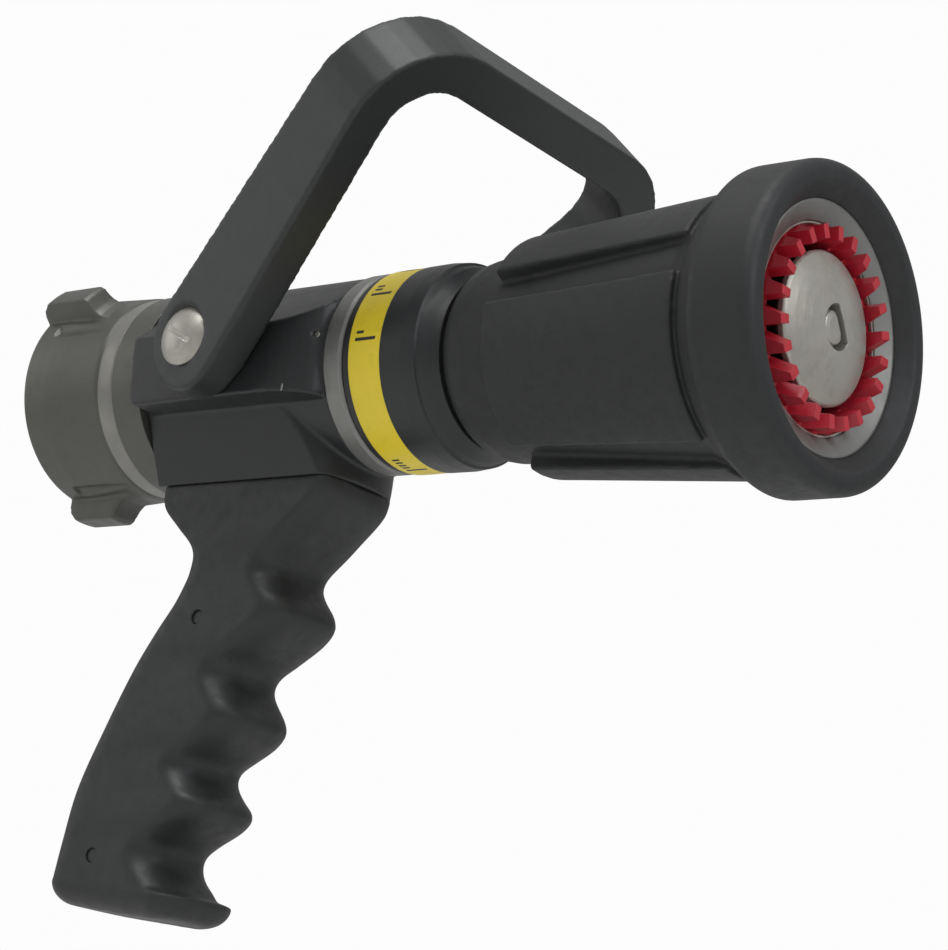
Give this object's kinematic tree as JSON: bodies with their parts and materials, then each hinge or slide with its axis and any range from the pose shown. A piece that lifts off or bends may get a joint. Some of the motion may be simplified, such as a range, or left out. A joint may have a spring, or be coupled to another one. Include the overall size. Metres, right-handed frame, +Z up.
{
  "type": "fire hose nozzle",
  "caption": "Handline fog nozzle with a swivel inlet, ball shutoff worked by a U bail, pistol grip, flow setting ring and twist pattern sleeve with a spinning toothed ring.",
  "frame": {"origin": "centre of the swivel's inlet mouth, on the nozzle's axis", "axes": "+X the way the water leaves, +Z up towards the bail, -Z towards the pistol grip, the object's near side is -Y"},
  "size_m": [0.266, 0.1248, 0.2451],
  "materials": {
    "coupling_metal": "satin hard-anodised grey",
    "body_black": "satin black hard-anodised",
    "bail_black": "satin powder-coated charcoal",
    "grip_polymer": "fine-textured moulded polymer",
    "bumper_rubber": "satin moulded rubber",
    "seal_rubber": "matte",
    "bare_aluminium": "satin machined",
    "stainless": "polished",
    "bronze": "machined",
    "seat_polymer": "machined white polymer",
    "band_yellow": "printed band, satin",
    "fog_red": "moulded red polymer"
  },
  "bodies": {
    "valve": {"tail_piece": "coupling_metal", "tail_seal": "seal_rubber", "valve_body": "body_black", "seat_spring": "stainless", "rear_seat": "seat_polymer", "front_seat": "seat_polymer", "seat_seals": "seal_rubber", "trunnion_bushes": "bronze", "lock_pins": "stainless", "front_ring": "bare_aluminium", "barrel": "body_black", "barrel_seal": "seal_rubber", "stem_support": "bare_aluminium", "detent_ball": "stainless", "detent_spring": "stainless", "cam_pins": "stainless", "grip": "grip_polymer", "grip_tang": "bare_aluminium", "tang_bolts": "stainless", "grip_pins": "body_black"},
    "swivel": {"swivel_coupling": "coupling_metal", "inlet_gasket": "seal_rubber", "inlet_screen": "stainless", "race_ball_set": "stainless", "race_plug": "stainless"},
    "shutoff": {"bail_handle": "bail_black", "ball": "stainless", "trunnion_near": "bronze", "trunnion_far": "bronze", "trunnion_seals": "seal_rubber", "pivot_screw_near": "stainless", "pivot_screw_far": "stainless"},
    "flow_collar": {"flow_ring": "body_black", "flow_band": "band_yellow", "flow_ring_screws": "stainless"},
    "metering_stem": {"stem": "stainless", "stem_pin": "stainless", "baffle_disc": "stainless", "baffle_screw": "stainless"},
    "sleeve_carrier": {"sleeve_seal": "seal_rubber"},
    "pattern_sleeve": {"shaper": "bare_aluminium", "bumper": "bumper_rubber", "fog_ring_clip": "stainless"},
    "fog_spinner": {"fog_ring": "fog_red"}
  },
  "joints": [
    {"name": "swivel_spin", "type": "hinge", "parent": "valve", "child": "swivel", "pos_m": [0.027, 0, 0], "axis": [1, 0, 0], "continuous": true},
    {"name": "shutoff_bail", "type": "hinge", "parent": "valve", "child": "shutoff", "pos_m": [0.081, 0, 0], "axis": [0, 1, 0], "range_deg": [-90, 0]},
    {"name": "flow_turn", "type": "hinge", "parent": "valve", "child": "flow_collar", "pos_m": [0.14, 0, 0], "axis": [1, 0, 0], "range_deg": [-30, 60]},
    {"name": "stem_travel", "type": "slide", "parent": "valve", "child": "metering_stem", "axis": [1, 0, 0], "range_m": [-0.0011, 0.0021]},
    {"name": "pattern_travel", "type": "slide", "parent": "valve", "child": "sleeve_carrier", "axis": [1, 0, 0], "range_m": [0, 0.0101]},
    {"name": "pattern_turn", "type": "hinge", "parent": "sleeve_carrier", "child": "pattern_sleeve", "pos_m": [0.2, 0, 0], "axis": [1, 0, 0], "range_deg": [0, 150]},
    {"name": "fog_spin", "type": "hinge", "parent": "pattern_sleeve", "child": "fog_spinner", "pos_m": [0.255, 0, 0], "axis": [1, 0, 0], "continuous": true}
  ],
  "couplings": [
    {"joint": "stem_travel", "follows": "flow_turn", "m_per_rad": 0.0019},
    {"joint": "pattern_travel", "follows": "pattern_turn", "m_per_rad": 0.00382}
  ]
}
